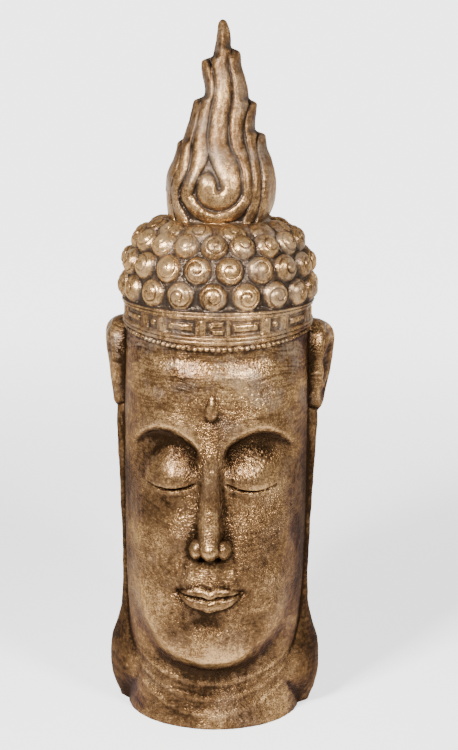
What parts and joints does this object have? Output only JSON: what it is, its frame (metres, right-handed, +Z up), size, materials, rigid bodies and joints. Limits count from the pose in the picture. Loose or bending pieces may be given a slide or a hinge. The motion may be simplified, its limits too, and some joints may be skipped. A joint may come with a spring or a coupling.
{
  "type": "buddha head",
  "caption": "Tall garden buddha head on a flat cut neck, with closed eyes, long ear lobes, snail curls over a beaded headband, and a carved flame finial.",
  "frame": {"origin": "middle of the flat underside of the neck", "axes": "+Z up to the tip of the flame, -Y out of the face, +X to the viewer's right"},
  "size_m": [0.5066, 0.4886, 1.501],
  "materials": {
    "bronze": "glass-fibre resin under an aged bronze paint, dark in the hollows and rubbed bright on the high places, semi-gloss"
  },
  "bodies": {
    "root": {"buddha_head": "bronze"}
  },
  "joints": []
}
